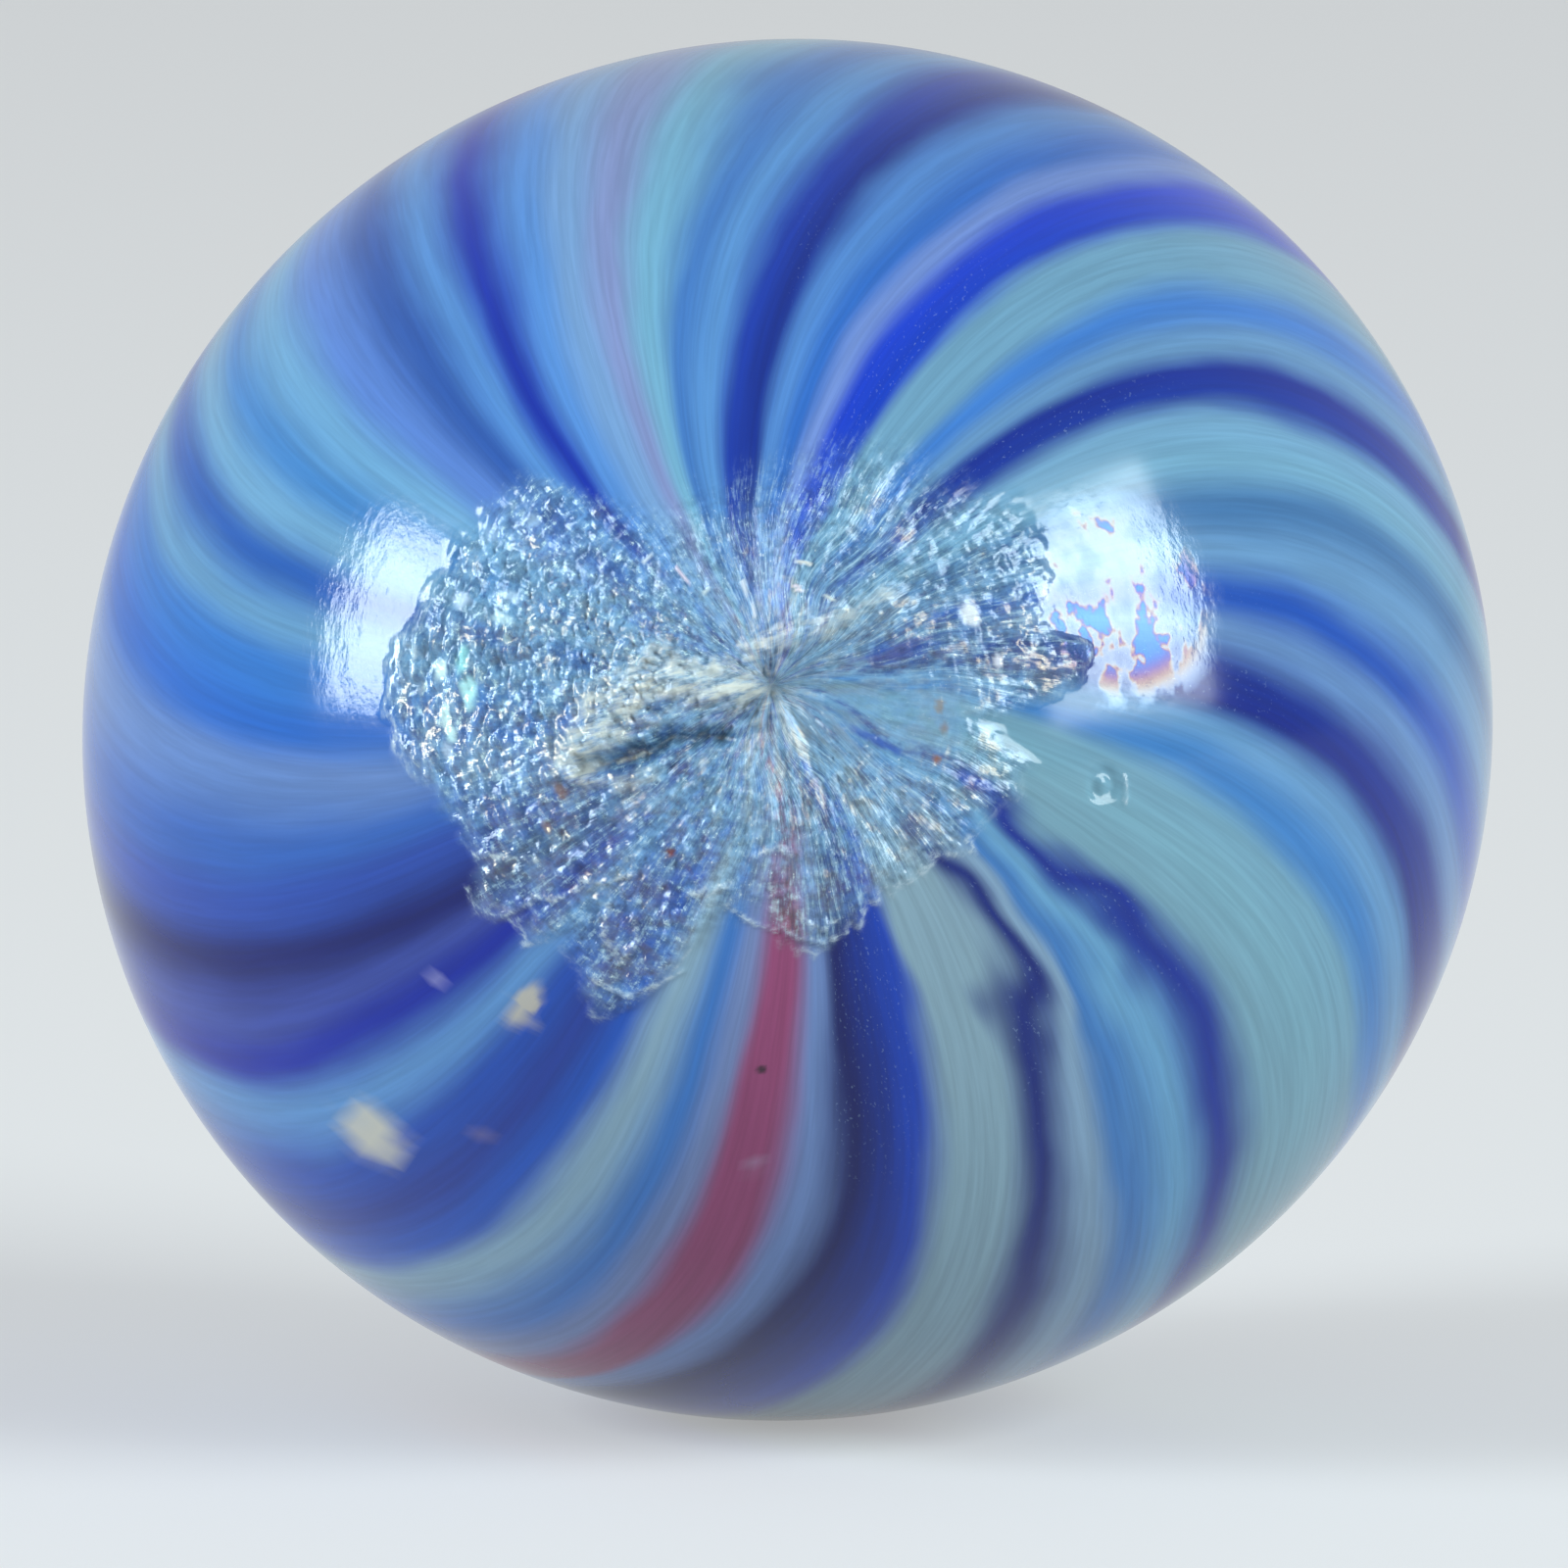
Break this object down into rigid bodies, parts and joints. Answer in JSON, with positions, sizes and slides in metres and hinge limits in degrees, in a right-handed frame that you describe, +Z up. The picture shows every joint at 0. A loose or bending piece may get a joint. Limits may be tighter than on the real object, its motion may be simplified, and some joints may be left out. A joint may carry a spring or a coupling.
{
  "type": "glass marble",
  "caption": "Slightly out-of-round playing marble of opaque swirled blue, white and pink glass, with a lobed, pleated melt scar on one side.",
  "frame": {"origin": "middle of the ball", "axes": "+Z up as the marble lies in view; the swirl axis comes out at the front, towards -Y, and leans up 11 degrees, and the ball is shortest along a line 17 degrees from +Z towards -X"},
  "size_m": [0.016, 0.0161, 0.0156],
  "materials": {
    "swirled_glass": "glossy opaque glass, swirled in pale aqua, cobalt, navy and a pink thread, crinkled on the scar"
  },
  "bodies": {
    "root": {"marble": "swirled_glass"}
  },
  "joints": []
}
